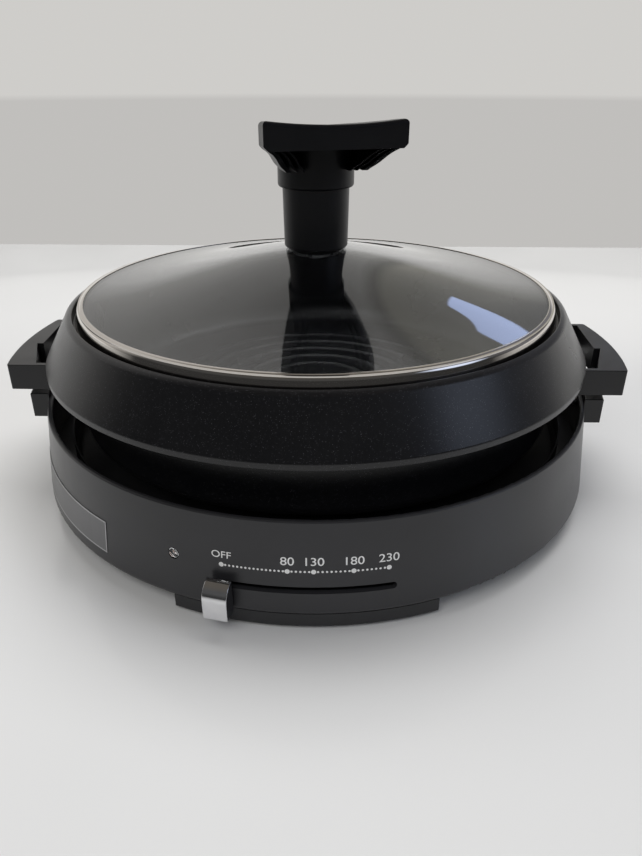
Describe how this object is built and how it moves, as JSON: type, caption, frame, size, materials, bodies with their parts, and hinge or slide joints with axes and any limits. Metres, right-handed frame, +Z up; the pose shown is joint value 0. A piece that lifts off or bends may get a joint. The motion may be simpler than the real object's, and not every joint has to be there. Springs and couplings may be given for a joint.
{
  "type": "electric hot pot",
  "caption": "Round electric hot pot: heated black base with slide lever, lift-out non-stick pot with side handles, smoked glass lid with tall T-shaped knob.",
  "frame": {"origin": "on the table under the pot's axis, at the bottom of the rubber feet", "axes": "+Z up; the controls face -Y and the mains inlet faces +Y; +X is the side of the right-hand handle seen from the front"},
  "size_m": [0.34, 0.3227, 0.1951],
  "materials": {
    "housing_black": "satin black moulded plastic",
    "handle_black": "satin black heat-resistant plastic",
    "knob_black": "fine matte black plastic",
    "coated_aluminium": "black non-stick coating with a fine sparkle on cast aluminium",
    "stainless": "rolled stainless steel, polished",
    "smoked_glass": "smoked tempered glass",
    "lever_chrome": "chrome plated",
    "zinc_steel": "zinc plated steel",
    "pan_black": "heat-proof black enamel on sheet steel",
    "heater_sheath": "annealed stainless tube",
    "ceramic": "unglazed steatite",
    "brass": "bare brass",
    "thermostat_case": "steatite and phenolic case",
    "cup_aluminium": "plain aluminium",
    "spring_steel": "spring wire",
    "silicone": "black silicone",
    "foot_rubber": "matte rubber",
    "clear_lens": "clear polycarbonate",
    "lamp_bulb": "small neon lamp",
    "wire_white": "glass-silicone sleeve",
    "label_foil": "blank satin foil"
  },
  "bodies": {
    "base": {"base_housing": "housing_black", "bottom_cover": "housing_black", "rubber_feet": "foot_rubber", "cover_screws": "zinc_steel", "base_handle_right": "handle_black", "base_handle_left": "handle_black", "base_handle_screws": "zinc_steel", "rating_label": "label_foil", "heat_pan": "pan_black", "pan_screws": "zinc_steel", "heater_element": "heater_sheath", "heater_bushes": "ceramic", "heater_terminals": "zinc_steel", "heater_supports": "zinc_steel", "thermostat_body": "thermostat_case", "thermostat_rivets": "zinc_steel", "thermostat_tabs": "brass", "pilot_lens": "clear_lens", "pilot_lamp": "lamp_bulb", "lamp_holder": "housing_black", "inlet_housing": "handle_black", "inlet_contacts": "brass", "inlet_keepers": "zinc_steel", "lead_wires": "wire_white", "lamp_lead": "wire_white", "thermal_fuse": "wire_white"},
    "pot": {"pot_body": "coated_aluminium", "pot_handle_left": "handle_black", "pot_handle_right": "handle_black", "pot_handle_screws": "zinc_steel"},
    "lid": {"lid_glass": "smoked_glass", "lid_ring": "stainless", "knob_gasket": "silicone", "under_gasket": "silicone", "knob_washer": "zinc_steel", "knob_screw": "zinc_steel", "knob_stem": "knob_black", "knob_grip": "knob_black", "knob_insert": "brass"},
    "temperature_lever": {"slider_knob": "knob_black", "slider_knob_cap": "lever_chrome", "control_arm": "zinc_steel", "thermostat_spindle": "brass", "arm_nut": "zinc_steel"},
    "sensor": {"sensor_cup": "cup_aluminium", "sensor_spring": "spring_steel"}
  },
  "joints": [
    {"name": "pot_lift", "type": "slide", "parent": "base", "child": "pot", "axis": [0, 0, 1], "range_m": [0, 0.12]},
    {"name": "lid_lift", "type": "slide", "parent": "pot", "child": "lid", "axis": [0, 0, 1], "range_m": [0, 0.12]},
    {"name": "lever_turn", "type": "hinge", "parent": "base", "child": "temperature_lever", "pos_m": [0, 0, 0.0217], "axis": [0, 0, 1], "range_deg": [0, 26.5]},
    {"name": "sensor_travel", "type": "slide", "parent": "base", "child": "sensor", "axis": [0, 0, 1], "range_m": [-0.0025, 0], "stiffness_N_per_m": 600, "springref_m": 0.002, "deforming": ["sensor_spring"]}
  ]
}
